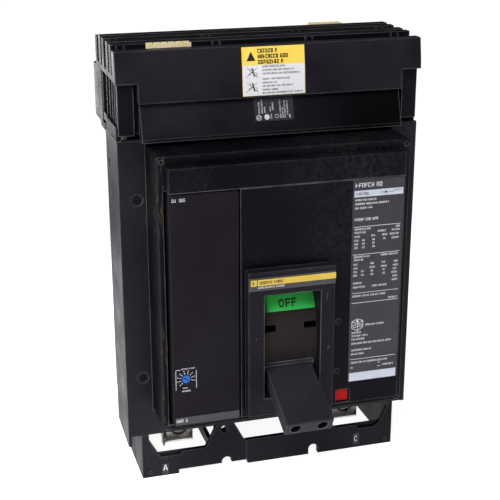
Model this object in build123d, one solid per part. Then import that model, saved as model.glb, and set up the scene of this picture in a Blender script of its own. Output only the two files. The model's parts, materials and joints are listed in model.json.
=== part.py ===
from build123d import *
import math
import os

# Sizes in mm. Modelled with Y = 0 on the front of the mounting frame, Z = 0 on its lower edge and +X to the
# right seen from the front. On export the centre of the rear mounting face becomes the origin.
FRAME_W, FRAME_H, FRAME_T, FRAME_D = 228.0, 233.0, 4.0, 44.0
CASE_W, CASE_FRONT, CASE_BACK, CASE_WALL = 210.0, 8.0, 103.0, 4.0
CASE_Z0, CASE_Z1 = -4.0, 236.0
COVER_W, COVER_Y, COVER_Z0, COVER_Z1 = 187.4, -36.7, 21.4, 229.6
DECK_W, DECK_Y, DECK_Z0, DECK_Z1 = 175.0, -45.2, 28.7, 222.7
SEAM_X, SEAM_Z = -36.8, 205.0
WINDOW_X0, WINDOW_X1, WINDOW_Z0, WINDOW_Z1, BEZEL_Y = -21.7, 20.9, 46.0, 127.0, -54.0
BEZEL_X0, BEZEL_X1, BEZEL_Z0, BEZEL_Z1 = -33.6, 31.6, 32.5, 145.0
PIVOT_Y, PIVOT_Z, SHIELD_R, SHIELD_T, SHIELD_W = 18.0, 85.7, 62.6, 1.6, 46.4
OFF_ANGLE, HANDLE_R, HANDLE_T, HANDLE_W = 23.1, 120.3, 11.7, 35.6
BAR_Y, BAR_Z, BAR_R = 52.0, 75.0, 9.0
CRANK_R, CRANK_ANGLE, ARM_L, ARM_OPEN, ARM_CLOSED = 20.0, 110.0, 76.0, 100.5, 72.5
LINK_Y, LINK_Z = 8.0, 88.0
KNEE_Y, KNEE_Z = 24.12, 76.16
TRIP_Y, TRIP_Z, TRIP_R = -4.0, 53.0, 3.0
POLE_X = 70.0
JAWS = ((-72.4, 12.75, 6), (65.6, 73.0, 5))
JAW_PITCH = 5.3
SLOTS = ((8.0, 17.5), (38.0, 47.5), (69.0, 77.0))
PLATE_TOP = 298.0
PLATES = (
    (17.5, 24.0, PLATE_TOP),
    (30.0, 38.0, PLATE_TOP),
    (47.5, 55.0, PLATE_TOP),
    (61.0, 69.0, PLATE_TOP),
    (77.0, 84.5, PLATE_TOP - 2.5),
)
COLLAR_Z0, COLLAR_Z1, BLOCK_W = 273.5, 277.0, 226.0
BRACKET_Z, BRACKET_W, BRACKET_T, BRACKET_BACK = -37.0, 208.0, 4.0, 96.0
LUG_W, LUG_Y0, LUG_Y1, LUG_Z0, LUG_Z1, LUG_BORE = 22.0, 20.0, 45.0, -21.0, 24.0, 8.0
FRAME_SCREW_X, FRAME_SCREW_Z = 101.2, (49.1, 189.0)
REAR_BOLT_X, REAR_BOLT_Z, REAR_BOLT_R = 88.0, (12.0, 220.0), 2.6
# Openings of the bracket's front wall, one outline for each side pole.
LEFT_WINDOW = [(-98.2, 0.5), (-98.2, -4.6), (-90.9, -17.7), (-53.3, -17.7), (-50.0, -12.7), (-44.2, 0.5)]
RIGHT_WINDOW = [(99.9, 0.5), (99.9, -3.2), (93.8, -16.6), (54.8, -16.6), (51.5, -11.6), (45.9, 0.5)]
MIDDLE_WINDOW = [(-29.8, 0.5), (29.8, 0.5), (21.2, -16.2), (-21.2, -16.2)]
LEFT_SILL = [(-91.0, -17.6), (-89.5, -20.4), (-73.5, -20.4), (-72.5, -17.6)]
RIGHT_SILL = [(93.0, -16.5), (89.0, -20.2), (75.0, -20.2), (72.0, -16.5)]

os.makedirs("parts", exist_ok=True)


def block(x0, x1, y0, y1, z0, z1):
    """Box between two corners."""
    return Pos((x0 + x1) / 2, (y0 + y1) / 2, (z0 + z1) / 2) * Box(abs(x1 - x0), abs(y1 - y0), abs(z1 - z0))


def soft_block(x0, x1, y0, y1, z0, z1, corner, front):
    """Box with its four corners rounded along Y and the edge of its front face eased."""
    body = block(x0, x1, y0, y1, z0, z1)
    body = fillet(body.edges().filter_by(Axis.Y), corner)
    return fillet(body.faces().sort_by(Axis.Y)[0].edges(), front)


def rod_x(y, z, r, x0, x1):
    return Pos((x0 + x1) / 2, y, z) * Rot(0, 90, 0) * Cylinder(r, abs(x1 - x0))


def rod_y(x, z, r, y0, y1):
    return Pos(x, (y0 + y1) / 2, z) * Rot(90, 0, 0) * Cylinder(r, y1 - y0)


def rod_z(x, y, r, z0, z1):
    return Pos(x, y, (z0 + z1) / 2) * Cylinder(r, z1 - z0)


def side_prism(points, x0, x1):
    """Outline in the YZ plane carried along X."""
    face = Plane.YZ.offset(min(x0, x1)) * Polygon(*points, align=(Align.NONE, Align.NONE))
    return extrude(face, amount=abs(x1 - x0), dir=(1, 0, 0))


def front_prism(points, y0, y1):
    """Outline in the XZ plane carried along Y."""
    face = Plane.XZ.offset(-y0) * Polygon(*points, align=(Align.NONE, Align.NONE))
    return extrude(face, amount=y1 - y0, dir=(0, 1, 0))


def polar(y, z, radius, angle):
    """Point in the YZ plane at an angle in degrees from +Y towards +Z."""
    return y + radius * math.cos(math.radians(angle)), z + radius * math.sin(math.radians(angle))


def arc_band(r_in, r_out, start, end, x0, x1):
    """Band of a tube about the handle pivot, between two angles from +Y towards +Z."""
    steps = 24
    angles = [start + (end - start) * i / steps for i in range(steps + 1)]
    wedge = [(PIVOT_Y, PIVOT_Z)] + [polar(PIVOT_Y, PIVOT_Z, r_out * 1.3, a) for a in angles]
    tube = rod_x(PIVOT_Y, PIVOT_Z, r_out, x0, x1) - rod_x(PIVOT_Y, PIVOT_Z, r_in, x0 - 1, x1 + 1)
    return tube & side_prism(wedge, x0 - 1, x1 + 1)


def link(y0, z0, y1, z1, half, x0, x1):
    """Flat bar with round ends between two pin centres."""
    angle = math.degrees(math.atan2(z1 - z0, y1 - y0))
    corners = [polar(y0, z0, half, angle + 90), polar(y0, z0, half, angle - 90)]
    corners += [polar(y1, z1, half, angle - 90), polar(y1, z1, half, angle + 90)]
    return side_prism(corners, x0, x1) + rod_x(y0, z0, half, x0, x1) + rod_x(y1, z1, half, x0, x1)


def handle_prism(points, x0, x1):
    """Outline given as (distance out, height across) along the handle in its OFF position."""
    out = math.radians(OFF_ANGLE)
    world = []
    for along, across in points:
        y = PIVOT_Y - along * math.cos(out) - across * math.sin(out)
        z = PIVOT_Z - along * math.sin(out) + across * math.cos(out)
        world.append((y, z))
    return side_prism(world, x0, x1)


def mounting_frame():
    half = FRAME_W / 2
    body = soft_block(-half, half, 0, FRAME_T, 0, FRAME_H, 1.0, 1.0) - block(-94, 94, -1, 5, 21.1, 229.9)
    for side in (-1, 1):
        foot = (-8, -4) if side < 0 else (0, 0)
        outline = [(0, foot[0]), (FRAME_D, foot[1]), (FRAME_D, FRAME_H), (0, FRAME_H)]
        wall = side_prism(outline, side * (half - 3), side * half)
        wall -= side_prism([(46, 178), (32, 175.2), (46, 169)], side * (half - 4), side * (half + 1))
        wall -= block(side * (half - 4), side * (half + 1), 32, 37, 206, 213)
        wall -= block(side * (half - 0.8), side * (half + 1), 38, 41, 47.6, 58.9)
        body += wall
        for z in FRAME_SCREW_Z:
            body -= rod_y(side * FRAME_SCREW_X, z, 4.3, -1, 2.5)
            body -= rod_y(side * FRAME_SCREW_X, z, 2.2, -1, 5)
    return body


def frame_screws():
    screws = []
    for side in (-1, 1):
        for z in FRAME_SCREW_Z:
            x = side * FRAME_SCREW_X
            screw = rod_y(x, z, 4.1, 0.4, 2.5) + rod_y(x, z, 2.0, 2.5, 17)
            screw -= block(x - 2.2, x + 2.2, 0, 1.5, z - 0.5, z + 0.5)
            screw -= block(x - 0.5, x + 0.5, 0, 1.5, z - 2.2, z + 2.2)
            screws.append(screw)
    return Compound(children=screws)


def case_base():
    half = CASE_W / 2
    inner = half - CASE_WALL
    body = block(-half, half, CASE_FRONT, CASE_BACK, CASE_Z0, CASE_Z1)
    body = fillet(body.edges().filter_by(Axis.Y), 1.5)
    body -= block(-inner, inner, 12, CASE_BACK - 4, CASE_Z0 + 4, CASE_Z1 - 4)
    body -= block(-90, 90, 7, 13, 25, 226)
    body -= block(-24.5, 24.5, 7, 13, 22.4, 30)
    for side in (-1, 1):
        body += block(side * 33.5, side * 36.5, 12, CASE_BACK - 4, CASE_Z0 + 4, CASE_Z1 - 4)
        body -= rod_x(BAR_Y, BAR_Z, BAR_R + 0.06, side * 33, side * 37)
        body -= block(side * 57, side * 83, 16, 51, CASE_Z0 - 1, CASE_Z0 + 5)
        body -= block(side * 60, side * 80, 80, 90, CASE_Z1 - 5, CASE_Z1 + 1)
        guard = block(side * half, side * (half + 4), 77, 99, 223, 231)
        body += fillet(guard.edges().filter_by(Axis.X), 2.5)
        for z in FRAME_SCREW_Z:
            body += rod_y(side * FRAME_SCREW_X, z, 3.8, 4, 20)
            body -= rod_y(side * FRAME_SCREW_X, z, 2.05, 3, 17.3)
        for z in (23.9, 225.7):
            body -= rod_y(side * 90.4, z, 1.5, 7, 13)
        for z in REAR_BOLT_Z:
            body += rod_y(side * REAR_BOLT_X, z, 6.5, 84, 100)
            body -= rod_y(side * REAR_BOLT_X, z, REAR_BOLT_R, 88, 104)
    return body


def front_cover():
    half, deck = COVER_W / 2, DECK_W / 2
    body = soft_block(-half, half, COVER_Y, CASE_FRONT, COVER_Z0, COVER_Z1, 2.5, 1.2)
    body -= block(-half + 3, half - 3, COVER_Y + 3, CASE_FRONT + 1, COVER_Z0 + 3, COVER_Z1 - 3)
    upper = soft_block(-deck, deck, DECK_Y, COVER_Y, DECK_Z0, DECK_Z1, 2.0, 1.0)
    body += upper & block(-deck, deck, DECK_Y - 1, COVER_Y, SEAM_Z, DECK_Z1)
    body -= block(-deck + 3, deck - 3, DECK_Y + 3, COVER_Y + 4, SEAM_Z + 3, DECK_Z1 - 3)
    for side in (-1, 1):
        for z in (23.9, 225.7):
            body += block(side * 86, side * 91, -33.8, CASE_FRONT, z - 2, z + 2)
            body -= rod_y(side * 90.4, z, 1.5, -40, 9)
    body -= block(-89.6, SEAM_X - 0.2, DECK_Y - 1, -33, 26.2, SEAM_Z)
    body -= block(-33.5, deck - 3, COVER_Y - 1, -33, 32, SEAM_Z - 3)
    body -= block(-24.5, 24.5, -12, 9, 22.6, 30)
    return body


def accessory_cover():
    deck = DECK_W / 2
    body = soft_block(-deck, deck, DECK_Y, COVER_Y, DECK_Z0, DECK_Z1, 2.0, 1.0)
    body &= block(SEAM_X, deck + 1, DECK_Y - 1, COVER_Y + 1, DECK_Z0 - 1, SEAM_Z - 0.2)
    body -= block(SEAM_X + 2.5, deck - 3, DECK_Y + 3, COVER_Y + 1, DECK_Z0 + 3, SEAM_Z - 3)
    body -= block(-24, 24, DECK_Y - 1, COVER_Y, 42.7, 129.3)
    for z in (56.8, 97.0):
        body -= rod_y(37.8, z, 1.9, DECK_Y - 1, COVER_Y)
    body += block(36.6, 48.3, -38, -28, 32.1, 42.6) + block(36.2, 49.2, DECK_Y + 1, -36.8, 29.6, 42.6)
    body -= block(37.4, 48.2, DECK_Y - 1, -36.7, 30.3, 40.8)
    body -= rod_y(42.45, 36.9, 3.2, -37, -29.5)
    return body - rod_y(42.45, 36.9, 1.8, -30, -27)


def accessory_cover_screws():
    screws = []
    for z in (56.8, 97.0):
        screw = rod_y(37.8, z, 1.8, DECK_Y + 0.8, -41)
        screws.append(screw - block(36.4, 39.2, DECK_Y, DECK_Y + 1.5, z - 0.35, z + 0.35))
    return Compound(children=screws)


def cover_screws():
    screws = []
    for side in (-1, 1):
        for z in (23.9, 225.7):
            x = side * 90.4
            screw = rod_y(x, z, 1.4, -36.0, 12)
            screws.append(screw - block(x - 1.1, x + 1.1, -37, -35.3, z - 0.3, z + 0.3))
    return Compound(children=screws)


def escutcheon():
    body = soft_block(BEZEL_X0, BEZEL_X1, BEZEL_Y, DECK_Y, BEZEL_Z0, BEZEL_Z1, 1.0, 0.6)
    body -= block(BEZEL_X0 + 2, BEZEL_X1 - 2, BEZEL_Y + 2.5, DECK_Y + 1, BEZEL_Z0 + 2, BEZEL_Z1 - 2)
    body += block(WINDOW_X0 - 2, WINDOW_X1 + 2, BEZEL_Y + 1, -18, WINDOW_Z0 - 2.3, WINDOW_Z1 + 2.1)
    body -= block(WINDOW_X0, WINDOW_X1, BEZEL_Y - 1, -17, WINDOW_Z0, WINDOW_Z1)
    return body - rod_x(PIVOT_Y, PIVOT_Z, SHIELD_R + 0.8, -40, 40)


def name_strip():
    return block(BEZEL_X0, BEZEL_X1, BEZEL_Y - 0.4, BEZEL_Y, 131.3, 141.1)


def accent_stripe():
    long = block(-27.0, BEZEL_X1, BEZEL_Y - 0.8, BEZEL_Y - 0.4, 135.3, 139.8)
    short = block(-32.0, -27.7, BEZEL_Y - 0.8, BEZEL_Y - 0.4, 135.3, 139.8)
    return Compound(children=[long, short])


def toggle_handle():
    half, thick = HANDLE_W / 2, HANDLE_T / 2
    grip = [(SHIELD_R - 6, -thick + 0.7), (SHIELD_R - 6, thick + 0.7)]
    grip += [(HANDLE_R, thick + 0.7), (HANDLE_R - 1.0, -thick + 0.7)]
    body = handle_prism(grip, -half, half)
    body = fillet(body.edges().filter_by(Axis.X), 0.9)
    tip = body.faces().filter_by(Axis.X)
    body = fillet(tip.edges(), 0.7)
    root = [(SHIELD_R + 0.1, -8.2), (SHIELD_R + 0.1, 9.2), (SHIELD_R + 3.2, 8.4), (SHIELD_R + 3.2, -7.4)]
    body += handle_prism(root, -half - 1.2, half + 1.2)
    for x in (-10, 10):
        y, z = polar(PIVOT_Y, PIVOT_Z, HANDLE_R - 4, 180 + OFF_ANGLE)
        hole = Pos(x, y, z + 0.6) * Rot(90 + OFF_ANGLE, 0, 0) * Cylinder(4.0, 18)
        body -= hole
    return body


def handle_yoke():
    web = [(SHIELD_R - 11, -5), (SHIELD_R - 11, 6), (SHIELD_R - 6, 6), (SHIELD_R - 6, -5)]
    body = handle_prism(web, -22.2, 22.2)
    for side in (-1, 1):
        arm = handle_prism([(0, -4.5), (0, 5)] + web[2:], side * 20.2, side * 22.2)
        arm += rod_x(PIVOT_Y, PIVOT_Z, 7, side * 20.2, side * 22.2)
        body += arm - rod_x(PIVOT_Y, PIVOT_Z, 3.06, side * 20, side * 23)
    return body


def dust_shield():
    start, end = 180 + OFF_ANGLE - 63.2, 180 + OFF_ANGLE + 63.2
    body = arc_band(SHIELD_R - SHIELD_T, SHIELD_R, start, end, -SHIELD_W / 2, SHIELD_W / 2)
    half, thick = HANDLE_W / 2, HANDLE_T / 2
    slot = [(SHIELD_R - 8, -thick + 0.65), (SHIELD_R - 8, thick + 0.75)]
    slot += [(SHIELD_R + 8, thick + 0.75), (SHIELD_R + 8, -thick + 0.65)]
    body -= handle_prism(slot, -half - 0.05, half + 0.05)
    for x0, x1 in ((-22.0, -10.0), (11.8, 22.2)):
        body -= block(x0, x1, -50, -30, 94, 99)
    return body


def position_flag():
    flags = []
    for low, high in ((21.2, 34.0), (-78.5, -65.7)):
        flags.append(arc_band(SHIELD_R, SHIELD_R + 0.3, 180 - high, 180 - low, -23.0, 23.0))
    return Compound(children=flags)


def trip_unit_cover():
    body = soft_block(-87.5, SEAM_X - 0.9, DECK_Y, -30, 28.0, SEAM_Z - 0.8, 2.0, 0.8)
    body -= block(-85.5, SEAM_X - 2.9, DECK_Y + 2, -29, 30, SEAM_Z - 2.8)
    return body - rod_y(-78, 65.8, 3.06, DECK_Y - 1, -42)


def trip_rating_strip():
    return block(-86.6, -38.6, DECK_Y - 0.4, DECK_Y, 29.4, 35.4)


def trip_adjust_dial():
    dial = rod_y(-78, 65.8, 3.0, DECK_Y - 0.4, -41.5) + rod_y(-78, 65.8, 4.4, -43.1, -41.5)
    slot = Pos(-78, DECK_Y, 65.8) * Rot(0, 35, 0) * Box(4.6, 1.6, 0.7)
    return dial - slot


def trip_unit_housing():
    return block(-87.2, -39.0, -30, 2, 28.5, 203.5) - block(-85.2, -41.0, -31, 0, 30.5, 201.5)


def trip_circuit_board():
    body = block(-83, -43, -18, -16.4, 60, 196)
    body += block(-80, -70, -20.5, -18, 150, 160) + block(-64, -50, -22, -18, 170, 184)
    body += block(-60, -50, -21, -18, 100, 112)
    for x in (-83, -43):
        body += block(x - 2.2 * (x < -60), x + 2.0 * (x > -60), -18, 0, 125, 131)
    return body


def trip_actuator():
    return block(-39.0, -29.0, -30, -13, 30, 43) - rod_y(-34, 36.3, 1.56, -20, -12)


def actuator_plunger():
    return rod_y(-34, 36.3, 1.5, -17, -10.3)


def push_to_trip_button():
    body = soft_block(37.8, 47.8, -43.6, -40.7, 30.7, 40.4, 0.8, 0.6)
    return body + rod_y(42.45, 36.9, 1.6, -40.7, -6.8)


def trip_button_spring():
    return rod_y(42.45, 36.9, 3.0, -40.7, -33.4) - rod_y(42.45, 36.9, 2.0, -41, -33)


def trip_bar():
    body = rod_x(TRIP_Y, TRIP_Z, TRIP_R, -37.0, 47.0)
    body += block(40.0, 45.0, -6, -2, 34, TRIP_Z)
    body += block(-36.5, -31.5, -6, -2, 34, TRIP_Z)
    return body + block(-14, -12, -7, -2, TRIP_Z, 72)


def mechanism_frame():
    body = rod_x(92, 55, 3, -26, 26) + rod_x(92, 118, 3, -26, 26) + rod_x(60, 118, 3, -26, 26)
    for side in (-1, 1):
        wall = block(side * 24, side * 26, -10, 99, 46, 125)
        wall -= rod_x(BAR_Y, BAR_Z, 10, side * 23, side * 27)
        wall -= rod_x(TRIP_Y, TRIP_Z, TRIP_R + 0.06, side * 23, side * 27)
        body += wall + rod_x(PIVOT_Y, PIVOT_Z, 3.0, side * 20, side * 24)
        for z in (50, 110):
            body += block(side * 26, side * 33.5, 96, 99, z, z + 10)
        body += rod_x(40, 112, 3, side * 14, side * 24)
    return body


def cradle():
    body = None
    for side in (-1, 1):
        outline = [(44, 118), (36, 118), (2, 92), (-7, 76), (-7, 72.3), (-1, 72.3), (10, 82), (44, 106)]
        plate = side_prism(outline, side * 12, side * 14)
        body = plate if body is None else body + plate
    return body + rod_x(LINK_Y, LINK_Z, 2.5, -12, 12) + rod_x(40, 112, 3, -12, 12)


def upper_link():
    body = None
    for side in (-1, 1):
        plate = link(LINK_Y, LINK_Z, KNEE_Y, KNEE_Z, 4.2, side * 8, side * 10)
        plate -= rod_x(LINK_Y, LINK_Z, 2.56, side * 7, side * 11)
        plate -= rod_x(KNEE_Y, KNEE_Z, 2.4, side * 7, side * 11)
        body = plate if body is None else body + plate
    return body


def knee_pin():
    return rod_x(KNEE_Y, KNEE_Z, 2.4, -19, 19)


def lower_link():
    y, z = polar(BAR_Y, BAR_Z, CRANK_R, CRANK_ANGLE)
    body = None
    for side in (-1, 1):
        plate = link(y, z, KNEE_Y, KNEE_Z, 4.2, side * 5, side * 7)
        plate += rod_x(KNEE_Y, KNEE_Z, 7.5, side * 5, side * 7)
        plate -= rod_x(KNEE_Y, KNEE_Z, 5.2, side * 4, side * 8)
        plate -= rod_x(y, z, 2.56, side * 4, side * 8)
        body = plate if body is None else body + plate
    return body


def mechanism_springs():
    springs = []
    end_y, end_z = polar(PIVOT_Y, PIVOT_Z, 44, 180 + OFF_ANGLE)
    for side in (-1, 1):
        springs.append(link(KNEE_Y - 6.2, KNEE_Z - 1.0, end_y, end_z, 2.3, side * 15.2, side * 19.0))
    return Compound(children=springs)


def crossbar():
    body = rod_x(BAR_Y, BAR_Z, BAR_R, -86, 86)
    y, z = polar(BAR_Y, BAR_Z, CRANK_R, CRANK_ANGLE)
    for side in (-1, 1):
        body += link(BAR_Y, BAR_Z, y, z, 4.5, side * 1, side * 4)
    return body + rod_x(y, z, 2.5, -7.5, 7.5)


def along_arm(angle, points):
    """Points given as (distance out, offset towards the fixed contact) turned into Y, Z."""
    out = math.radians(angle)
    world = []
    for d, n in points:
        y = BAR_Y + d * math.cos(out) + n * math.sin(out)
        z = BAR_Z + d * math.sin(out) - n * math.cos(out)
        world.append((y, z))
    return world


def contact_arm(side):
    body = side_prism(along_arm(ARM_OPEN, [(0, -5), (0, 5), (ARM_L, 4), (ARM_L, -4)]), side * 64, side * 76)
    body += rod_x(BAR_Y, BAR_Z, 13, side * 62, side * 78)
    return body - rod_x(BAR_Y, BAR_Z, BAR_R + 0.02, side * 61, side * 79)


def moving_contact_tips():
    tips = []
    for side in (-1, 1):
        outline = along_arm(ARM_OPEN, [(60, 4.25), (60, 6.7), (73, 6.5), (73, 4.06)])
        tips.append(side_prism(outline, side * 65, side * 75))
    return Compound(children=tips)


def fixed_contact_tips():
    tips = []
    for side in (-1, 1):
        outline = along_arm(ARM_CLOSED, [(60, 7.1), (60, 9.35), (73, 9.35), (73, 7.1)])
        tips.append(side_prism(outline, side * 65, side * 75))
    return Compound(children=tips)


def line_conductor(side, jaw_y):
    foot = along_arm(ARM_CLOSED, [(59, 9.36), (75, 9.36)])
    outline = foot + [(82.8, 148), (82.8, 254), (86.8, 254), (86.8, foot[0][1])]
    body = side_prism(outline, side * 62, side * 78)
    body += block(side * 62, side * 78, jaw_y - 2, 86.8, 250, 254)
    return body + block(side * 62, side * 78, jaw_y - 2, jaw_y + 2, 254, 262)


def line_jaw(centre, jaw_y, fingers):
    half = fingers * JAW_PITCH / 2
    body = block(centre - half, centre + half, jaw_y - 3.6, jaw_y + 3.6, 262, 267)
    for k in range(fingers):
        x = centre + (k - (fingers - 1) / 2) * JAW_PITCH
        for front in (-1, 1):
            body += block(x - 2.3, x + 2.3, jaw_y + front * 2.5, jaw_y + front * 3.6, 267, 298.6)
    return body


def jaw_springs():
    springs = []
    for centre, jaw_y, fingers in JAWS:
        half = fingers * JAW_PITCH / 2 - 1
        for front in (-1, 1):
            back = jaw_y + front * 3.65
            springs.append(block(centre - half, centre + half, back, back + front * 0.5, 263, 268.5))
    return Compound(children=springs)


def arc_chute(side):
    body = block(side * 57.5, side * 59, 28, 76, 105, 173) + block(side * 81, side * 82.5, 28, 76, 105, 173)
    for k in range(5):
        body += block(side * 58.5, side * 81.5, 30, 74, 154 + 4 * k, 155.5 + 4 * k)
    return body


def load_conductor(side):
    return block(side * 62, side * 78, LUG_Y1, LUG_Y1 + 4, -2, 58)


def current_transformer(side):
    body = soft_block(side * 56 if side > 0 else -84, side * 84 if side > 0 else -56, 36, 62, 30, 50, 2, 1)
    return body - block(side * 61, side * 79, 42, 53, 29, 51)


def flexible_connector(side):
    outline = [(44.95, 52), (44.95, 58), (41, 62), (36, 70), (34.5, 78)]
    outline += [(32, 77.5), (33.6, 69), (39, 59), (41, 52)]
    return side_prism(outline, side * 63, side * 77)


def load_lug(side):
    x = side * POLE_X
    body = block(x - LUG_W / 2, x + LUG_W / 2, LUG_Y0, LUG_Y1, LUG_Z0, LUG_Z1)
    body = fillet(body.edges().filter_by(Axis.X), 3.0)
    body -= rod_z(x, 33.0, LUG_BORE, LUG_Z0 - 1, 14)
    return body - rod_y(x, -6.5, 7.0, LUG_Y0 - 1, 24.5)


def lug_screws():
    screws = []
    for side in (-1, 1):
        x = side * POLE_X
        screw = rod_y(x, -6.5, 6.8, 21.0, 24.4) - rod_y(x, -6.5, 3.4, 20.0, 23.4)
        tab = block(x - 12.9, x - 11.8, LUG_Y0, LUG_Y0 + 7, -22, -5.3)
        tab += block(x - 12.9, x - 11.0, LUG_Y0 + 7, LUG_Y0 + 9, -18, -5.3)
        screws.append(screw)
        screws.append(tab)
    return Compound(children=screws)


def line_end_housing():
    half = BLOCK_W / 2
    body = block(-half + 0.5, half - 0.5, 0, 62, 236.3, COLLAR_Z0)
    body += block(-106, 106, 62, 92, 238, COLLAR_Z0)
    body += block(-half, half, 7.7, 84.5, COLLAR_Z0, COLLAR_Z1)
    for y0, y1, top in PLATES:
        body += block(-half, half, y0, y1, COLLAR_Z1, top)
    for y0 in (17.5, 47.5):
        for x in (-106, -36.8, 33.3, 100.4):
            for off in (-2.7, 2.7):
                body += block(x + off - 0.7, x + off + 0.7, y0 - 1.0, y0, COLLAR_Z1, 297)
    body -= block(-102, 102, 65, 89, 237, COLLAR_Z0 - 3)
    body -= block(-95, 95, 4, 59, 240, COLLAR_Z0 - 3)
    body -= block(-95, 95, 58, 66, 241, COLLAR_Z0 - 3)
    body -= block(-57.0 - 26, -57, 80, 90, 230, 245) + block(57, 83, 80, 90, 230, 245)
    for (centre, _, fingers), (y0, y1) in zip(JAWS, (SLOTS[0], SLOTS[2])):
        reach = fingers * JAW_PITCH / 2 + 0.6
        body -= block(centre - reach, centre + reach, y0 + 0.1, y1 - 0.1, COLLAR_Z0 - 4, COLLAR_Z1 + 1)
    for side in (-1, 1):
        body += block(side * 110, side * (half + 0.6), 4.2, 44, FRAME_H + 0.15, 242)
        body += block(side * (CASE_W / 2 + 0.5), side * half, 63, 97, 232.5, COLLAR_Z0)
        body -= block(side * 97.6, side * 101, -1, 6, 235, COLLAR_Z0)
        body -= block(side * (half - 8), side * (half + 1), 3, 60, 242, COLLAR_Z0)
        for y0 in (9, 16, 25, 36, 48):
            body += block(side * (half - 9), side * (half - 1.5), y0, y0 + 1.5, 241, COLLAR_Z0 + 1)
    return body


def line_end_shield():
    half = BLOCK_W / 2 + 1
    upper = [(-1, 296), (7.7, 296), (7.7, COLLAR_Z0), (0, COLLAR_Z0), (-4.2, COLLAR_Z0), (-3.5, 281)]
    lower = [(-4.2, COLLAR_Z0), (0, COLLAR_Z0), (0, 259.5), (-5.5, 259.5)]
    return side_prism(upper, -half, half) + side_prism(lower, -98.5, 98.5)


def line_end_neck():
    front = [(-1.5, 259.5), (-9, 235.5), (-9.5, 235.0), (-9.5, 232.6)]
    rear = [(-0.2, 232.6), (-0.2, 236), (0, 236), (0, 259.5)]
    return side_prism(front + rear, -97.4, 97.4)


def load_bracket(side):
    half, z1 = BRACKET_W / 2, BRACKET_Z
    inner = -19.8 if side > 0 else -20.2
    outer = side * half
    body = block(inner, outer, 0, BRACKET_T, z1, 0)
    for outline in (LEFT_WINDOW, MIDDLE_WINDOW, RIGHT_WINDOW):
        body -= front_prism(outline, -1, 5)
    for outline in (LEFT_SILL, RIGHT_SILL):
        body -= front_prism(outline, -1, 2.6)
    for s in (-1, 1):
        body -= rod_y(s * 36.2, -32.5, 4.0, -1, 5)
        body -= block(s * 32.2, s * 40.2, -1, 5, z1 - 1, -32.5)
        body -= rod_y(s * 38, -3.8, 3.0, -1, 5)
    body -= block(-75, -19, -1, 5, z1 - 1, -33.6)
    body += block(side * (half - 3), side * half, BRACKET_T, BRACKET_BACK, z1, CASE_Z0)
    body += block(side * 41, side * 44.5, BRACKET_T, BRACKET_BACK, -33.6, -26)
    body += block(inner, side * half, BRACKET_BACK - 4, BRACKET_BACK, -33.6, -26)
    body += block(side * 31, side * 45, BRACKET_T, CASE_FRONT, -12, 18)
    body -= rod_y(side * 38, -3.8, 3.0, -1, 9)
    body += block(side * 100.5, side * half, BRACKET_T, CASE_FRONT, -12, 18)
    return body + rod_y(side * 98.3, -32.2, 1.6, -0.8, 0)


def caution_label():
    slope_front = [(-1.17, 295), (-3.5, 281), (-4.2, COLLAR_Z0), (-5.38, 260.8)]
    outline = slope_front + [(y - 0.35, z) for y, z in reversed(slope_front)]
    return side_prism(outline, -23.3, 23.3)


def approval_label():
    points = [(-1.79, 258.6), (-6.885, 242.3)]
    outline = points + [(y - 0.35, z) for y, z in reversed(points)]
    return side_prism(outline, -14.7, 14.7)


def rating_label():
    return block(46.6, 86.2, DECK_Y - 0.35, DECK_Y, 46.5, 204.3)


def phase_labels():
    left = block(-88.6, -83.4, -0.4, 0, -36.2, -26.6)
    right = block(70.4, 75.8, -0.4, 0, -34.4, -24)
    return Compound(children=[left, right])


PARTS = {
    "mounting_frame": mounting_frame(),
    "frame_screws": frame_screws(),
    "case_base": case_base(),
    "front_cover": front_cover(),
    "cover_screws": cover_screws(),
    "accessory_cover": accessory_cover(),
    "accessory_cover_screws": accessory_cover_screws(),
    "escutcheon": escutcheon(),
    "name_strip": name_strip(),
    "accent_stripe": accent_stripe(),
    "toggle_handle": toggle_handle(),
    "handle_yoke": handle_yoke(),
    "dust_shield": dust_shield(),
    "position_flag": position_flag(),
    "trip_unit_cover": trip_unit_cover(),
    "trip_unit_housing": trip_unit_housing(),
    "trip_rating_strip": trip_rating_strip(),
    "trip_adjust_dial": trip_adjust_dial(),
    "trip_circuit_board": trip_circuit_board(),
    "trip_actuator": trip_actuator(),
    "actuator_plunger": actuator_plunger(),
    "push_to_trip_button": push_to_trip_button(),
    "trip_button_spring": trip_button_spring(),
    "trip_bar": trip_bar(),
    "mechanism_frame": mechanism_frame(),
    "cradle": cradle(),
    "upper_link": upper_link(),
    "lower_link": lower_link(),
    "knee_pin": knee_pin(),
    "mechanism_springs": mechanism_springs(),
    "crossbar": crossbar(),
    "contact_arm_a": contact_arm(-1),
    "contact_arm_c": contact_arm(1),
    "moving_contact_tips": moving_contact_tips(),
    "fixed_contact_tips": fixed_contact_tips(),
    "line_conductor_a": line_conductor(-1, JAWS[0][1]),
    "line_conductor_c": line_conductor(1, JAWS[1][1]),
    "line_jaw_a": line_jaw(*JAWS[0]),
    "line_jaw_c": line_jaw(*JAWS[1]),
    "jaw_springs": jaw_springs(),
    "arc_chute_a": arc_chute(-1),
    "arc_chute_c": arc_chute(1),
    "load_conductor_a": load_conductor(-1),
    "load_conductor_c": load_conductor(1),
    "current_transformer_a": current_transformer(-1),
    "current_transformer_c": current_transformer(1),
    "flexible_connector_a": flexible_connector(-1),
    "flexible_connector_c": flexible_connector(1),
    "load_lug_a": load_lug(-1),
    "load_lug_c": load_lug(1),
    "lug_screws": lug_screws(),
    "line_end_housing": line_end_housing(),
    "line_end_shield": line_end_shield(),
    "line_end_neck": line_end_neck(),
    "load_bracket_left": load_bracket(-1),
    "load_bracket_right": load_bracket(1),
    "rating_label": rating_label(),
    "caution_label": caution_label(),
    "approval_label": approval_label(),
    "phase_labels": phase_labels(),
}

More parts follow.
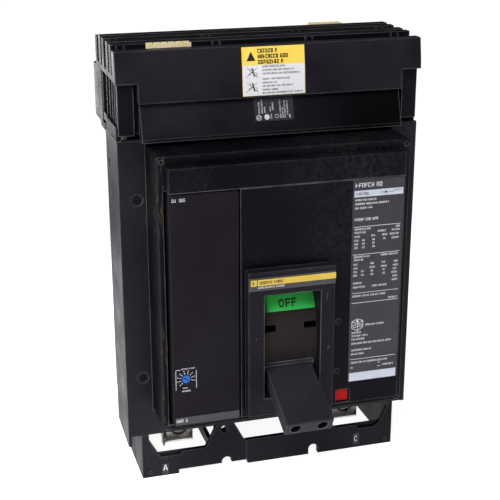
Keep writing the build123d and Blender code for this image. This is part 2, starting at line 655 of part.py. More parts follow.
for name, shape in PARTS.items():
    export_step(Pos(0, -CASE_BACK, -(CASE_Z0 + CASE_Z1) / 2) * shape, f"parts/{name}.step")
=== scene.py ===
import json
import math
import random
import bmesh
import bpy
from mathutils import Matrix, Vector


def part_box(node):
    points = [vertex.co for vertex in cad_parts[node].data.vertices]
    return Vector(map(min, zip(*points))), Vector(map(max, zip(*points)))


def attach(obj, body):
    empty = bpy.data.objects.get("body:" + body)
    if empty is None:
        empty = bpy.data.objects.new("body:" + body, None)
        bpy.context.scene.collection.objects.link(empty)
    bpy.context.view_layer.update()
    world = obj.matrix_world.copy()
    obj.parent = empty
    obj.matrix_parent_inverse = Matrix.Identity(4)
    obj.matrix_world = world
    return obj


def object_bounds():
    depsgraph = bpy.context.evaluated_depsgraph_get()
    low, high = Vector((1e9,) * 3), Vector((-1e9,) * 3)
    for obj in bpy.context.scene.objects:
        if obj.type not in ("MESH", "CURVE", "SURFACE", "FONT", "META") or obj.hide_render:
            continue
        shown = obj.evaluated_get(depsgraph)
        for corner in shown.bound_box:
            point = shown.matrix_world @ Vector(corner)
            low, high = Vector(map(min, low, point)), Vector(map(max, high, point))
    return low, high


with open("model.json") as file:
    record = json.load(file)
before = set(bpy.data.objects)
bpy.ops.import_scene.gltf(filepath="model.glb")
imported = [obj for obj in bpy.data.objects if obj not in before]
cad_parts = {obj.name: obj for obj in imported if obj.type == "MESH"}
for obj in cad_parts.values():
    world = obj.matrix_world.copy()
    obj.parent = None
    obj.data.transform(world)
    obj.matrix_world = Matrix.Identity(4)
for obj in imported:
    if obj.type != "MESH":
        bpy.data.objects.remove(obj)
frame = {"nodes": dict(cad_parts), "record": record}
cad_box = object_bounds()
NODES = frame["nodes"]
random.seed(11)


# ---------------------------------------------------------------- materials
def linear(value):
    """Display value 0..255 to linear."""
    c = value / 255
    return c / 12.92 if c <= 0.04045 else ((c + 0.055) / 1.055) ** 2.4


def rgb(*values):
    return tuple(linear(v) for v in values) + (1.0,)


class Shader:
    """A material's node tree with short helpers."""

    def __init__(self, name):
        self.mat = bpy.data.materials.new(name)
        self.mat.use_nodes = True
        self.tree = self.mat.node_tree
        self.bsdf = self.tree.nodes["Principled BSDF"]
        self.where = self.tree.nodes.new("ShaderNodeTexCoord").outputs["Object"]

    def link(self, a, b):
        self.tree.links.new(a, b)

    def set(self, socket, value):
        self.bsdf.inputs[socket].default_value = value

    def noise(self, scale, detail=3.0, stretch=None):
        node = self.tree.nodes.new("ShaderNodeTexNoise")
        node.inputs["Scale"].default_value = scale
        node.inputs["Detail"].default_value = detail
        source = self.where
        if stretch:
            mapping = self.tree.nodes.new("ShaderNodeMapping")
            mapping.inputs["Scale"].default_value = stretch
            self.link(source, mapping.inputs["Vector"])
            source = mapping.outputs["Vector"]
        self.link(source, node.inputs["Vector"])
        return node.outputs["Fac"]

    def cells(self, scale):
        node = self.tree.nodes.new("ShaderNodeTexVoronoi")
        node.inputs["Scale"].default_value = scale
        self.link(self.where, node.inputs["Vector"])
        return node.outputs["Distance"]

    def ramp(self, source, low, high, out_low=0.0, out_high=1.0):
        node = self.tree.nodes.new("ShaderNodeMapRange")
        node.inputs["From Min"].default_value = low
        node.inputs["From Max"].default_value = high
        node.inputs["To Min"].default_value = out_low
        node.inputs["To Max"].default_value = out_high
        self.link(source, node.inputs["Value"])
        return node.outputs["Result"]

    def times(self, a, b):
        node = self.tree.nodes.new("ShaderNodeMath")
        node.operation = "MULTIPLY"
        self.link(a, node.inputs[0])
        self.link(b, node.inputs[1])
        return node.outputs[0]

    def axis(self, name):
        node = self.tree.nodes.new("ShaderNodeSeparateXYZ")
        self.link(self.where, node.inputs[0])
        return node.outputs[name]

    def mix(self, factor, a, b):
        node = self.tree.nodes.new("ShaderNodeMix")
        node.data_type = "RGBA"
        self.link(factor, node.inputs["Factor"])
        for value, socket in ((a, node.inputs[6]), (b, node.inputs[7])):
            if isinstance(value, tuple):
                socket.default_value = value
            else:
                self.link(value, socket)
        return node.outputs[2]

    def corners(self, reach):
        """1 on outer edges, where the surface just inside is close on two sides, and 0 on the faces."""
        node = self.tree.nodes.new("ShaderNodeAmbientOcclusion")
        node.samples = 6
        node.inside = True
        node.only_local = True
        node.inputs["Distance"].default_value = reach
        return self.ramp(node.outputs["AO"], 0.92, 0.62)

    def paint(self, colour):
        self.link(colour, self.bsdf.inputs["Base Color"])

    def gloss(self, source, low, high):
        self.link(self.ramp(source, 0.3, 0.7, low, high), self.bsdf.inputs["Roughness"])

    def bump(self, source, strength, distance):
        node = self.tree.nodes.new("ShaderNodeBump")
        node.inputs["Strength"].default_value = strength
        node.inputs["Distance"].default_value = distance
        self.link(source, node.inputs["Height"])
        self.link(node.outputs["Normal"], self.bsdf.inputs["Normal"])


def moulded(name, dark, light, dust, rough=0.45, speck=0.35, grain=900.0, relief=0.25, shine=0.06,
            extra=None, edge_highlight=0.0):
    """Moulded plastic: broad tone changes, fine grain, pale dust specks, a haze of dust and painted sheen,
    painted highlights on outer edges and uneven gloss.
    """
    s = Shader(name)
    tone = s.mix(s.ramp(s.noise(22, 4), 0.35, 0.65), dark, light)
    tone = s.mix(s.ramp(s.noise(grain, 2), 0.35, 0.7, 0, 0.5), tone, light)
    specks = s.times(s.ramp(s.cells(620), 0.03, 0.15, speck, 0.0), s.ramp(s.noise(60, 3), 0.44, 0.66))
    tone = s.mix(specks, tone, dust)
    # A pale haze in soft patches: dust, and also painted sheen standing in for soft reflections on the glossy
    # plastic.
    dust_and_sheen_haze = s.times(s.ramp(s.noise(9, 5), 0.5, 0.8, 0, 0.13), s.ramp(s.noise(380, 3), 0.35, 0.7))
    tone = s.mix(dust_and_sheen_haze, tone, dust)
    if extra:
        tone = extra(s, tone)
    # Painted highlight: outer edges get a pale grey, standing in for the light their rounded edges catch.
    if edge_highlight:
        edge_glint = s.times(s.corners(0.0008), s.ramp(s.noise(75, 3), 0.36, 0.60, 0.15, edge_highlight))
        tone = s.mix(edge_glint, tone, rgb(150, 148, 150))
    s.paint(tone)
    s.gloss(s.noise(45, 4), rough - 0.07, rough + 0.1)
    s.set("Specular IOR Level", shine)
    s.set("Specular Tint", (0.93, 0.88, 1.0, 1.0))
    s.bump(s.noise(grain * 1.6, 3), relief, 0.00012)
    return s.mat


def metal(name, base, rough, stretch=(1, 1, 30), dirt=None, metallic=1.0):
    s = Shader(name)
    shade = tuple(c * 0.72 for c in base[:3]) + (1.0,)
    tone = s.mix(s.ramp(s.noise(220, 4, stretch), 0.3, 0.7), shade, base)
    if dirt:
        tone = s.mix(s.ramp(s.noise(90, 5), 0.52, 0.72, 0, 0.6), tone, dirt)
    s.paint(tone)
    s.set("Metallic", metallic)
    s.gloss(s.noise(130, 4), rough - 0.08, rough + 0.12)
    s.bump(s.noise(700, 3, stretch), 0.15, 0.0001)
    return s.mat


def plated(name):
    """Bright tin over a casting: soft mirror, faint rolling marks, and painted shade on the rounded edges."""
    s = Shader(name)
    tone = s.mix(s.ramp(s.noise(240, 4, (1, 1, 9)), 0.35, 0.7), rgb(214, 209, 202), rgb(246, 242, 236))
    tone = s.mix(s.ramp(s.noise(60, 5), 0.5, 0.7, 0, 0.5), tone, rgb(150, 144, 136))
    # Painted shade: the rounded edges are painted dark grey where they turn away from the light.
    s.paint(s.mix(s.corners(0.0014), tone, rgb(52, 50, 50)))
    s.set("Metallic", 1.0)
    s.gloss(s.noise(130, 4), 0.22, 0.4)
    s.bump(s.noise(500, 3, (1, 1, 8)), 0.2, 0.0002)
    return s.mat


def printed(name, base, shade, rough=0.5, spots=0.0, shine=0.3):
    """Printed film or paper: faint mottling, slight wrinkle and handling marks."""
    s = Shader(name)
    tone = s.mix(s.ramp(s.noise(70, 4), 0.3, 0.7), base, shade)
    tone = s.mix(s.ramp(s.noise(900, 2), 0.62, 0.75, 0, spots), tone, rgb(205, 203, 200))
    s.paint(tone)
    s.gloss(s.noise(120, 3), rough - 0.08, rough + 0.08)
    s.set("Specular IOR Level", shine)
    s.bump(s.noise(260, 3), 0.12, 0.0001)
    return s.mat


def scuffed_rim(s, tone):
    """Dry brownish scuffs down the left rim of the cover, strongest at the front."""
    streaks = s.ramp(s.noise(1700, 4, (1, 1, 0.06)), 0.58, 0.72, 0, 0.75)
    patches = s.ramp(s.noise(16, 3), 0.42, 0.64)
    left = s.ramp(s.axis("X"), -0.0885, -0.0865, 1.0, 0.0)
    region = s.times(left, s.ramp(s.axis("Y"), -0.138, -0.118, 1.0, 0.0))
    return s.mix(s.times(s.times(streaks, patches), region), tone, rgb(126, 116, 98))


def painted_back_shade(s, tone):
    """Painted shade: the rear block of the line end, recessed under the collar, is painted darker."""
    return s.mix(s.ramp(s.axis("Y"), -0.0400, -0.0395), tone, rgb(10, 9, 11))


def neck_side(s, tone):
    """The neck darkens towards its right end, away from the light."""
    return s.mix(s.ramp(s.axis("X"), -0.03, 0.07), tone, rgb(7, 6, 8))


def flag_colour_and_side_shade(s, tone):
    """Painted shade in darker green on the OFF flag's left side, where it falls away from the light, and red
    on the flag that shows when closed.
    """
    tone = s.mix(s.ramp(s.axis("X"), -0.0165, -0.0135, 0.85, 0.0), tone, rgb(10, 62, 22))
    return s.mix(s.ramp(s.axis("Z"), -0.06, -0.059, 1.0, 0.0), tone, rgb(168, 22, 18))


# The edge amount given to a moulding below sets how strong its painted highlight on outer edges is.
M = {
    "case": moulded(
        "case_black", rgb(8, 6, 11), rgb(13, 11, 17), rgb(104, 102, 108),
        rough=0.42, speck=0.6, edge_highlight=0.28),
    "cover": moulded(
        "cover_black", rgb(7, 5, 9), rgb(13, 11, 16), rgb(112, 110, 112),
        rough=0.42, speck=0.8, extra=scuffed_rim, edge_highlight=0.34),
    "block": moulded(
        "block_black", rgb(12, 10, 15), rgb(18, 16, 22), rgb(84, 82, 86),
        rough=0.40, speck=0.3, grain=1300, extra=painted_back_shade, edge_highlight=0.32),
    "plate": moulded(
        "plate_black", rgb(22, 20, 26), rgb(34, 32, 38), rgb(88, 86, 90),
        rough=0.36, speck=0.3, grain=1300, edge_highlight=0.32),
    # The neck is given lighter tones than the block: painted sheen for the light its forward-leaning face
    # reflects.
    "neck": moulded(
        "neck_black", rgb(24, 22, 28), rgb(34, 32, 38), rgb(80, 78, 82),
        rough=0.40, speck=0.3, grain=1300, extra=neck_side, edge_highlight=0.3),
    "flange": moulded(
        "frame_black", rgb(18, 16, 22), rgb(28, 26, 32), rgb(108, 106, 110),
        rough=0.44, speck=0.6, shine=0.13, edge_highlight=0.34),
    "bracket": moulded(
        "bracket_black", rgb(20, 18, 24), rgb(32, 30, 36), rgb(114, 112, 116),
        rough=0.48, speck=0.55, shine=0.08, edge_highlight=0.16),
    "bezel": moulded(
        "bezel_black", rgb(20, 18, 23), rgb(29, 27, 33), rgb(96, 94, 98),
        rough=0.42, speck=0.7, edge_highlight=0.34),
    "handle": moulded(
        "handle_black", rgb(37, 36, 41), rgb(46, 45, 51), rgb(92, 90, 92),
        rough=0.36, speck=0.25, grain=1500, edge_highlight=0.38),
    "shield": moulded(
        "shield_brown", rgb(34, 30, 30), rgb(46, 42, 41), rgb(80, 76, 72),
        rough=0.55, speck=0.15),
    "trip": moulded(
        "trip_grey", rgb(20, 16, 21), rgb(26, 23, 28), rgb(76, 73, 77),
        rough=0.34, speck=0.08, grain=2000, relief=0.1),
    "dark": moulded("inner_black", rgb(9, 8, 10), rgb(15, 14, 16), rgb(52, 50, 50), rough=0.6, speck=0.2),
    "cream": moulded(
        "jaw_cream", rgb(222, 198, 140), rgb(244, 230, 190), rgb(96, 80, 52),
        rough=0.5, speck=0.55, shine=0.3),
    "circuit": moulded(
        "board_green", rgb(12, 60, 34), rgb(22, 84, 48), rgb(190, 180, 120),
        rough=0.4, speck=0.5),
    "green": moulded(
        "flag_green", rgb(52, 184, 76), rgb(70, 206, 94), rgb(130, 214, 130),
        rough=0.45, speck=0.1, extra=flag_colour_and_side_shade),
    "red": moulded(
        "button_red", rgb(150, 12, 10), rgb(176, 18, 14), rgb(200, 70, 56),
        rough=0.4, speck=0.15, shine=0.08),
    "blue": moulded(
        "dial_blue", rgb(16, 78, 150), rgb(28, 96, 172), rgb(120, 160, 200),
        rough=0.3, speck=0.1, shine=0.2),
    "strip": printed("strip_grey", rgb(52, 51, 56), rgb(60, 59, 64), rough=0.42, spots=0.05),
    "band": printed("band_grey", rgb(54, 53, 57), rgb(62, 61, 65), rough=0.42, spots=0.08),
    "yellow": printed("stripe_yellow", rgb(200, 168, 60), rgb(206, 176, 76), rough=0.45, spots=0.05),
    "label": printed("label_grey", rgb(44, 43, 48), rgb(52, 51, 57), rough=0.42, spots=0.04, shine=0.25),
    "caution": printed("caution_yellow", rgb(240, 208, 92), rgb(232, 196, 78), rough=0.45, spots=0.05),
    "white": printed("print_white", rgb(222, 221, 224), rgb(212, 211, 215), rough=0.5),
    "ink": printed("print_black", rgb(26, 25, 28), rgb(40, 39, 42), rough=0.5),
    "pale_ink": printed("print_pale", rgb(214, 213, 220), rgb(196, 195, 203), rough=0.5),
    "scuff": printed("scuff_mark", rgb(84, 83, 88), rgb(108, 107, 112), rough=0.55),
    "brown_ink": printed("print_brown", rgb(72, 56, 20), rgb(88, 70, 28), rough=0.5),
    "pale": printed("print_lavender", rgb(176, 180, 196), rgb(190, 194, 208), rough=0.45),
    "steel": metal("zinc_steel", rgb(170, 170, 174), rough=0.36),
    "oxide": moulded(
        "screw_black", rgb(8, 7, 9), rgb(16, 15, 18), rgb(90, 86, 80),
        rough=0.35, speck=0.3, shine=0.2),
    "tin": plated("tin_plate"),
    "copper": metal("copper", rgb(196, 122, 84), rough=0.34, dirt=rgb(104, 62, 44)),
    "silver": metal("silver_alloy", rgb(206, 204, 200), rough=0.3),
    "arc": metal("arc_steel", rgb(120, 120, 124), rough=0.45),
}

BY_SLOT = {
    "moulded_case": "case", "moulded_block": "block", "frame_paint": "flange", "bracket_moulding": "bracket",
    "handle_black": "handle", "shield_brown": "shield", "flag_green": "green", "trip_cover_grey": "trip",
    "strip_grey": "strip", "stripe_yellow": "yellow", "dial_blue": "blue", "circuit_green": "circuit",
    "button_red": "red", "spring_steel": "steel", "zinc_steel": "steel", "inner_plastic": "dark",
    "copper": "copper", "silver_tips": "silver", "arc_steel": "arc", "cream_jaw": "cream",
    "tinned_lug": "tin", "label_grey": "label", "label_caution": "caution", "screw_black": "oxide",
}
BY_NODE = {
    "front_cover": "cover", "escutcheon": "bezel", "line_end_shield": "plate", "line_end_neck": "neck",
    "name_strip": "band", "lug_screws": "tin", "trip_unit_housing": "dark",
}

for entry in frame["record"]["subparts"]:
    node = NODES[entry["node"]]
    node.data.materials.clear()
    node.data.materials.append(M[BY_NODE.get(entry["node"], BY_SLOT[entry["material_slot"]])])


# ---------------------------------------------------------------- eased edges on the carried-over nodes
def ease(node, width, segments=2):
    o = NODES[node]
    weld = o.modifiers.new("weld", "WELD")
    weld.merge_threshold = 0.00001
    bevel = o.modifiers.new("bevel", "BEVEL")
    bevel.width = width
    bevel.segments = segments
    bevel.limit_method = "ANGLE"
    bevel.angle_limit = math.radians(35)
    bevel.harden_normals = True


for name in ("line_end_shield", "line_end_housing"):
    ease(name, 0.0004)


# ---------------------------------------------------------------- printed marks, laid on the surfaces
class Sheet:
    """A drawing plane over a node: u and v are mm from the top left corner of the node's box, v downwards."""

    def __init__(self, node, lift=0.00006):
        self.node = NODES[node]
        self.lo, self.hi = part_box(node)
        self.lift = lift

    def at(self, u, v, thick=0.0):
        x = self.lo.x + u / 1000
        z = self.hi.z - v / 1000
        hit, place, _, _ = self.node.ray_cast(Vector((x, -1.0, z)), Vector((0, 1, 0)))
        y = place.y if hit else self.lo.y
        return Vector((x, y - self.lift - thick, z))


def stamp(name, sheet, material, shapes, body="case", thick=0.00006):
    """Thin raised prints: every shape is an outline of (u, v) points, given clockwise or not."""
    bm = bmesh.new()
    for outline in shapes:
        front = [bm.verts.new(sheet.at(u, v, thick)) for u, v in outline]
        back = [bm.verts.new(sheet.at(u, v)) for u, v in outline]
        count = len(outline)
        bm.faces.new(front)
        bm.faces.new(list(reversed(back)))
        for k in range(count):
            bm.faces.new((front[k], back[k], back[(k + 1) % count], front[(k + 1) % count]))
    bmesh.ops.recalc_face_normals(bm, faces=bm.faces)
    mesh = bpy.data.meshes.new(name)
    bm.to_mesh(mesh)
    bm.free()
    mesh.materials.append(M[material])
    piece = bpy.data.objects.new(name, mesh)
    bpy.context.scene.collection.objects.link(piece)
    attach(piece, body)
    return piece


def bar(u0, v0, u1, v1):
    return [(u0, v0), (u1, v0), (u1, v1), (u0, v1)]


def stroke(u0, v0, u1, v1, width):
    length = math.hypot(u1 - u0, v1 - v0)
    a, b = -(v1 - v0) / length * width / 2, (u1 - u0) / length * width / 2
    return [(u0 + a, v0 + b), (u1 + a, v1 + b), (u1 - a, v1 - b), (u0 - a, v0 - b)]


def disc(u, v, radius, sides=20):
    angles = [k * math.tau / sides for k in range(sides)]
    return [(u + radius * math.cos(a), v + radius * math.sin(a)) for a in angles]


def ring(u, v, radius, width, squash=1.0, sides=24):
    parts = []
    for k in range(sides):
        a, b = k * math.tau / sides, (k + 1) * math.tau / sides
        points = []
        for r, t in ((radius, a), (radius, b), (radius - width, b), (radius - width, a)):
            points.append((u + r * math.cos(t) * squash, v + r * math.sin(t)))
        parts.append(points)
    return parts


GLYPHS = ("lrtm", "ltb", "lrm", "ltmb", "lrb", "tdb", "lrtb", "lm", "lrt", "ltm")


def glyph(kind, u, v, wide, high, line):
    """One letter-like shape made of straight strokes; the shapes never spell anything."""
    parts = {
        "l": bar(u, v, u + line, v + high),
        "r": bar(u + wide - line, v, u + wide, v + high),
        "t": bar(u, v, u + wide, v + line),
        "m": bar(u, v + high * 0.45, u + wide, v + high * 0.45 + line),
        "b": bar(u, v + high - line, u + wide, v + high),
        "d": stroke(u + wide * 0.8, v, u + wide * 0.2, v + high, line),
    }
    return [parts[k] for k in kind]


def words(u0, u1, v, height, weight=0.17):
    """Illegible lettering: groups of letter-like shapes between u0 and u1, tops on the line v."""
    shapes, u = [], u0
    while u < u1 - height * 0.4:
        for _ in range(random.randint(3, 8)):
            wide = height * random.uniform(0.5, 0.68)
            if u + wide > u1:
                break
            shapes += glyph(random.choice(GLYPHS), u, v, wide, height, height * weight)
            u += wide + height * 0.16
        u += height * 0.45
    return shapes


def words_up(v1, v0, u, height):
    """The same lettering turned to run upwards, from v1 up to v0."""
    return [[(u + b, v1 - a) for a, b in shape] for shape in words(0, v1 - v0, 0, height)]


# small print on the rating plate: mm below its top edge, then the spans across it
RATING_ROWS = (
    (36.2, ((2, 15), (34, 37.2))),
    (38.8, ((2, 11), (20, 28), (31, 37.2))),
    (41.8, ((2, 6), (15, 19), (23.5, 28), (29.5, 37))),
    (44.8, ((2, 6), (8, 11), (16, 18.6), (24.5, 27), (31, 37))),
    (47.5, ((2, 6), (8, 11), (16, 18.6))),
    (50.2, ((2, 6), (8, 11), (16, 18.6))),
    (57.4, ((2, 15), (23, 36.6))),
    (59.8, ((2, 11),)),
    (63.2, ((2, 5.5), (15, 18), (24, 27), (33.5, 37))),
    (66.2, ((2, 5.5), (14.5, 19), (23.5, 28), (33, 37))),
    (69.0, ((2, 6), (8, 11), (15.5, 18), (25, 27.5), (33, 37))),
    (71.8, ((2, 6), (8, 11), (15.5, 18), (25, 27.5), (32, 37))),
    (74.8, ((33, 37),)),
    (77.6, ((32.5, 37),)),
    (77.8, ((2, 9),)),
    (81.0, ((2, 12), (17, 29))),
    (88.0, ((1.8, 28),)),
    (91.6, ((30, 37.6),)),
    (111.6, ((12.6, 28),)),
    (117.2, ((2, 10),)),
    (119.9, ((2, 15.5),)),
    (122.6, ((2, 12.5),)),
    (126.0, ((2, 34),)),
    (131.4, ((2, 18.5),)),
    (134.6, ((2, 12.5),)),
    (141.6, ((2, 32),)),
    (145.8, ((2, 5), (27.5, 37.2))),
)


# strokes of the square mark on the rating plate, from (u, v) to (u, v) in mm
MARK_EDGES = (
    (2, 109, 6, 107), (6, 107, 10.6, 108.6), (10.6, 108.6, 10.6, 114),
    (10.6, 114, 6.6, 116.4), (6.6, 116.4, 2, 114.2), (2, 114.2, 2, 109),
    (2, 109, 6.6, 111), (6.6, 111, 10.6, 108.6), (6.6, 111, 6.6, 116.4),
)


def rating_plate():
    sheet = Sheet("rating_label")
    text = words(1.8, 24, 2.4, 3.2, 0.14)
    for v, right in ((14.2, 19.5), (17.1, 28.5), (20.2, 15.5)):
        text += words(1.8, right, v, 1.5)
    text += words(1.8, 20, 28.6, 2.0)
    for v in (35.0, 56.2, 86.2, 94.0, 139.4):
        text.append(bar(1.2, v, 37.6, v + 0.35))
    for v, spans in RATING_ROWS:
        for u0, u1 in spans:
            text += words(u0, u1, v, 1.45)
    for u0, v0, u1, v1 in MARK_EDGES:
        text.append(stroke(u0, v0, u1, v1, 0.45))
    text += ring(4.3, 112.6, 1.3, 0.4) + ring(8.6, 112.4, 1.3, 0.4) + [disc(6.3, 108.9, 1.0)]
    text += [stroke(23.4, v, 26, v, 0.3) for v in (144.4, 147.4)]
    stamp("rating_plate_text", sheet, "pale_ink", text)
    stamp("rating_plate_strips", sheet, "pale", [bar(1.1, 7.9, 38.7, 12.7), bar(0.8, 150.7, 38.5, 157.5)])
    above = Sheet("rating_label", 0.00013)
    symbol = words(2.6, 13, 9.4, 2.0)
    symbol += [stroke(21, 10.3, 26.5, 10.3, 0.4), stroke(24.4, 9.2, 26.4, 11.4, 0.4)]
    symbol += [stroke(26.4, 9.2, 24.4, 11.4, 0.4), stroke(27.6, 10.3, 30, 10.3, 0.4)]
    symbol += [stroke(30, 11, 33, 9, 0.4), stroke(33, 9.2, 37.5, 9.2, 0.4)]
    stamp("rating_plate_symbol", above, "ink", symbol)


def top_label():
    sheet = Sheet("caution_label")
    cuts = [12.6, 14.2, 21.7, 33.2, 34.0]
    panels = [bar(0.3, a, 46.3, b) for a, b in zip(cuts[:-1], cuts[1:])]
    stamp("top_label_white", sheet, "white", panels)
    above = Sheet("caution_label", 0.00013)
    marks = [[(3.4, 9.6), (9.8, 9.6), (6.6, 3.2)]]
    for v, right in ((1.5, 27.5), (5.4, 35.2), (9.2, 32)):
        marks += words(11.6, right, v, 2.7, 0.22)
    stamp("top_label_heading", above, "ink", marks)
    small = []
    lines = (
        (13.2, 32), (15.7, 38), (18.2, 43.4), (21.9, 35),
        (24.5, 26), (26.9, 38), (29.5, 26.4), (31.8, 44.5),
    )
    for v, right in lines:
        small += words(14.6, right, v, 1.25)
    for v in (14.0, 24.4):
        small += [stroke(3.2, v, 11.6, v + 7.6, 0.25), stroke(2.4, v + 7.2, 11.0, v + 0.2, 0.25)]
        small += [stroke(7.4, v + 0.6, 8.6, v + 6.6, 0.8), stroke(4.4, v + 5.4, 7.6, v + 3.2, 0.6)]
        small += ring(9.6, v + 5.0, 1.2, 0.3) + ring(6.2, v + 1.8, 1.0, 0.3)
    stamp("top_label_text", above, "ink", small)


# upright print on the approval plate: across, low end, high end and letter height in mm
APPROVAL_ROWS = (
    (3.0, 11, 2.4, 1.0), (5.2, 10.8, 1.0, 1.0), (7.2, 10.6, 6.0, 1.0),
    (11.4, 9.6, 5.8, 0.9), (13.2, 9.0, 2.6, 1.2), (11.8, 15, 10.8, 0.9),
    (18.8, 14.6, 2.0, 1.0), (20.6, 14.6, 7, 0.9), (22.2, 14.6, 2.8, 1.0),
    (24.2, 12.6, 2.4, 1.0), (25.6, 14.8, 12, 1.2),
)


def approval_plate():
    sheet = Sheet("approval_label")
    marks = ring(3.0, 13.6, 1.9, 0.4) + [stroke(1.9, 14.4, 4.1, 12.8, 0.6)]
    marks += [disc(9.0, 13.4, 1.9)] + ring(16.4, 13.2, 1.4, 0.3)
    for u, low, high, height in APPROVAL_ROWS:
        marks += words_up(low, high, u, height)
    stamp("approval_plate_text", sheet, "pale_ink", marks)


def trip_panel():
    sheet = Sheet("trip_unit_cover")
    lo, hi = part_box("trip_adjust_dial")
    u = ((lo.x + hi.x) / 2 - sheet.lo.x) * 1000
    v = (sheet.hi.z - (lo.z + hi.z) / 2) * 1000
    lines = [stroke(u - 7.6, v - 7.4, u - 7.6, v + 8.2, 0.35)]
    lines.append(stroke(u + 7.5, v - 6.2, u + 7.5, v + 7.8, 0.35))
    lines.append(stroke(u - 7.4, v - 7.6, u - 4.2, v - 7.6, 0.35))
    lines += words(u - 3.6, u + 6.4, v - 8.6, 0.9)
    for k in range(9):
        angle = math.radians(225 - 30 * k)
        c, s = math.cos(angle), -math.sin(angle)
        lines.append(stroke(u + 3.8 * c, v + 3.8 * s, u + 5.4 * c, v + 5.4 * s, 0.38))
        lines.append(bar(u + 6.4 * c - 0.3, v + 6.4 * s - 0.35, u + 6.4 * c + 0.3, v + 6.4 * s + 0.35))
    lines += words(u - 2.6, u + 1.8, v + 6.6, 0.9) + words(u - 3.2, u + 3.4, v + 8.8, 1.2)
    lines += words(1.8, 5.6, 2.8, 2.2, 0.14) + words(7.2, 12.0, 2.8, 2.2, 0.14)
    stamp("trip_panel_marks", sheet, "pale_ink", lines)
    strip = words(0.7, 6.6, 1.4, 2.4, 0.13) + words(7.6, 9.9, 1.4, 2.4, 0.13)
    stamp("trip_strip_marks", Sheet("trip_rating_strip"), "white", strip)


def nameplate():
    stripe = words(6.4, 24, 1.2, 2.2) + words(1.0, 3.4, 1.2, 2.2)
    stamp("stripe_marks", Sheet("accent_stripe"), "brown_ink", stripe)
    stamp("band_marks", Sheet("name_strip"), "white", words(6.8, 28, 6.6, 1.3))


def scuffs():
    """A few light rubs on the raised frame round the handle."""
    sheet = Sheet("escutcheon", 0.00003)
    lo, hi = sheet.lo, sheet.hi
    left, top = lo.x * 1000, (hi.z + 0.116) * 1000
    rubs = (
        (25.9, 124.6, 25.8, 121.0), (25.8, 121.0, 25.2, 119.0),
        (28.2, 82.7, 26.6, 79.7), (-27.6, 95, -28.0, 93.8),
    )
    marks = []
    for x0, z0, x1, z1 in rubs:
        marks.append(stroke(x0 - left, top - z0, x1 - left, top - z1, 0.22))
    stamp("escutcheon_scuffs", sheet, "scuff", marks)


def screw_shadows():
    """A painted shadow ring round each screw of the frame, standing in for the shade in its recess."""
    node = NODES["frame_screws"]
    heads = []
    for vertex in node.data.vertices:
        for head in heads:
            if (head[0] - vertex.co).length < 0.014:
                head.append(vertex.co)
                break
        else:
            heads.append([vertex.co])
    sheet = Sheet("mounting_frame", 0.00004)
    marks = []
    for head in heads:
        x = (min(c.x for c in head) + max(c.x for c in head)) / 2
        z = (min(c.z for c in head) + max(c.z for c in head)) / 2
        radius = (max(c.x for c in head) - min(c.x for c in head)) * 500
        marks += ring((x - sheet.lo.x) * 1000, (sheet.hi.z - z) * 1000, radius + 0.9, 0.8)
    stamp("frame_screw_painted_shadows", sheet, "dark", marks, thick=0.00003)


def switch_word():
    """The plain position word on the flag, drawn with strokes."""
    sheet = Sheet("position_flag")
    lo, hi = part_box("position_flag")
    u = -6.4 - lo.x * 1000
    v = (hi.z - 0.0003) * 1000
    marks = ring(u + 2.1, v + 2.7, 2.75, 1.0, 0.76, 28)
    for start in (u + 5.3, u + 10.0):
        marks += [bar(start, v, start + 1.0, v + 5.4), bar(start + 1.0, v, start + 3.8, v + 1.0)]
        marks.append(bar(start + 1.0, v + 2.3, start + 3.4, v + 3.2))
    stamp("flag_word", sheet, "ink", marks, "handle")


def phase_letters():
    sheet = Sheet("phase_labels")
    a = [stroke(1.1, 8.4, 2.5, 3.4, 0.65), stroke(2.7, 3.4, 4.1, 8.4, 0.65), bar(1.7, 6.3, 3.5, 6.9)]
    lo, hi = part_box("phase_labels")
    u = (hi.x - lo.x) * 1000
    c = [part for k, part in enumerate(ring(u - 2.8, 4.8, 2.5, 0.8, 0.6, 24)) if not 21 <= k and not k < 3]
    stamp("phase_letters", sheet, "white", a + c)


rating_plate()
top_label()
approval_plate()
trip_panel()
nameplate()
scuffs()
screw_shadows()
switch_word()
phase_letters()

# ---------------------------------------------------------------- stage
FLOOR_SIDE = 1.6
FLOOR_FRONT = -1.4
FLOOR_BACK = 0.45  # short, so that it throws little light on the black faces

floor_z = cad_box[0].z
mesh = bpy.data.meshes.new("floor")
corners = [
    (-FLOOR_SIDE, FLOOR_FRONT, floor_z), (FLOOR_SIDE, FLOOR_FRONT, floor_z),
    (FLOOR_SIDE, FLOOR_BACK, floor_z), (-FLOOR_SIDE, FLOOR_BACK, floor_z),
]
mesh.from_pydata(corners, [], [(0, 1, 2, 3)])
floor = bpy.data.objects.new("floor", mesh)
bpy.context.scene.collection.objects.link(floor)
s = Shader("floor_pale")
s.paint(s.mix(s.ramp(s.noise(3, 3), 0.3, 0.7), (0.80, 0.80, 0.80, 1), (0.83, 0.83, 0.83, 1)))
s.set("Roughness", 0.9)
s.set("Specular IOR Level", 0.1)
s.set("Emission Color", (1, 1, 1, 1))
s.set("Emission Strength", 0.93)
mesh.materials.append(s.mat)

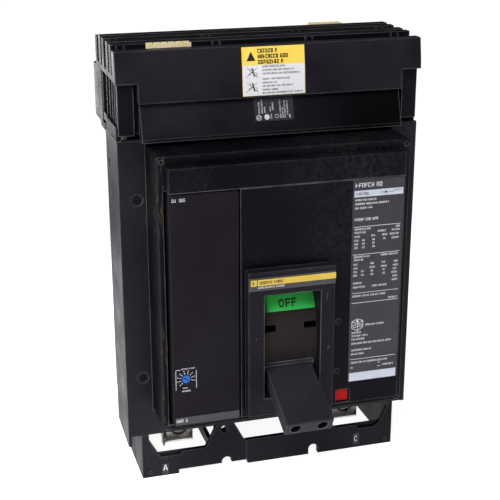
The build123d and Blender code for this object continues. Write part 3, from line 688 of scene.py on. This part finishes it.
world = bpy.data.worlds.new("studio")
bpy.context.scene.world = world
world.use_nodes = True
tree = world.node_tree
background = tree.nodes["Background"]
background.inputs["Color"].default_value = (1, 1, 1, 1)
path = tree.nodes.new("ShaderNodeLightPath")
level = tree.nodes.new("ShaderNodeMapRange")
level.inputs["To Min"].default_value = 0.05
level.inputs["To Max"].default_value = 1.05
tree.links.new(path.outputs["Is Camera Ray"], level.inputs["Value"])
tree.links.new(level.outputs["Result"], background.inputs["Strength"])

middle = (cad_box[0] + cad_box[1]) / 2


def softbox(name, place, width, height, power):
    data = bpy.data.lights.new(name, "AREA")
    data.shape = "RECTANGLE"
    data.size, data.size_y, data.energy = width, height, power
    lamp = bpy.data.objects.new(name, data)
    bpy.context.scene.collection.objects.link(lamp)
    lamp.location = place
    lamp.rotation_mode = "QUATERNION"
    lamp.rotation_quaternion = (middle - Vector(place)).to_track_quat("-Z", "Y")


softbox("key_softbox", (-0.75, -1.05, 1.35), 1.0, 0.8, 34)
softbox("left_softbox", (-1.5, 0.3, 0.5), 1.2, 1.0, 14)
softbox("rear_left_softbox", (-0.75, 1.7, 0.0), 0.9, 0.6, 8)

# ---------------------------------------------------------------- camera
CAMERA_ANGLES = (-16.26, 19.271, -0.108)  # azimuth, elevation and roll in degrees
CAMERA_PLACE = (-0.24492, -0.88533, 0.31206)
CAMERA_LENS = 83.04
SENSOR = 36.0

azimuth, elevation, roll = (math.radians(a) for a in CAMERA_ANGLES)
level_part = math.cos(elevation)
back = Vector((math.sin(azimuth) * level_part, -math.cos(azimuth) * level_part, math.sin(elevation)))
right = (-back).cross(Vector((0, 0, 1))).normalized()
up = right.cross(-back)
across = right * math.cos(roll) + up * math.sin(roll)
upward = up * math.cos(roll) - right * math.sin(roll)
data = bpy.data.cameras.new("camera")
data.sensor_width = SENSOR
data.lens = CAMERA_LENS
camera = bpy.data.objects.new("camera", data)
bpy.context.scene.collection.objects.link(camera)
turn = Matrix((across, upward, back)).transposed().to_4x4()
camera.matrix_world = Matrix.Translation(Vector(CAMERA_PLACE)) @ turn
bpy.context.scene.camera = camera
bpy.context.scene.view_settings.view_transform = "Standard"
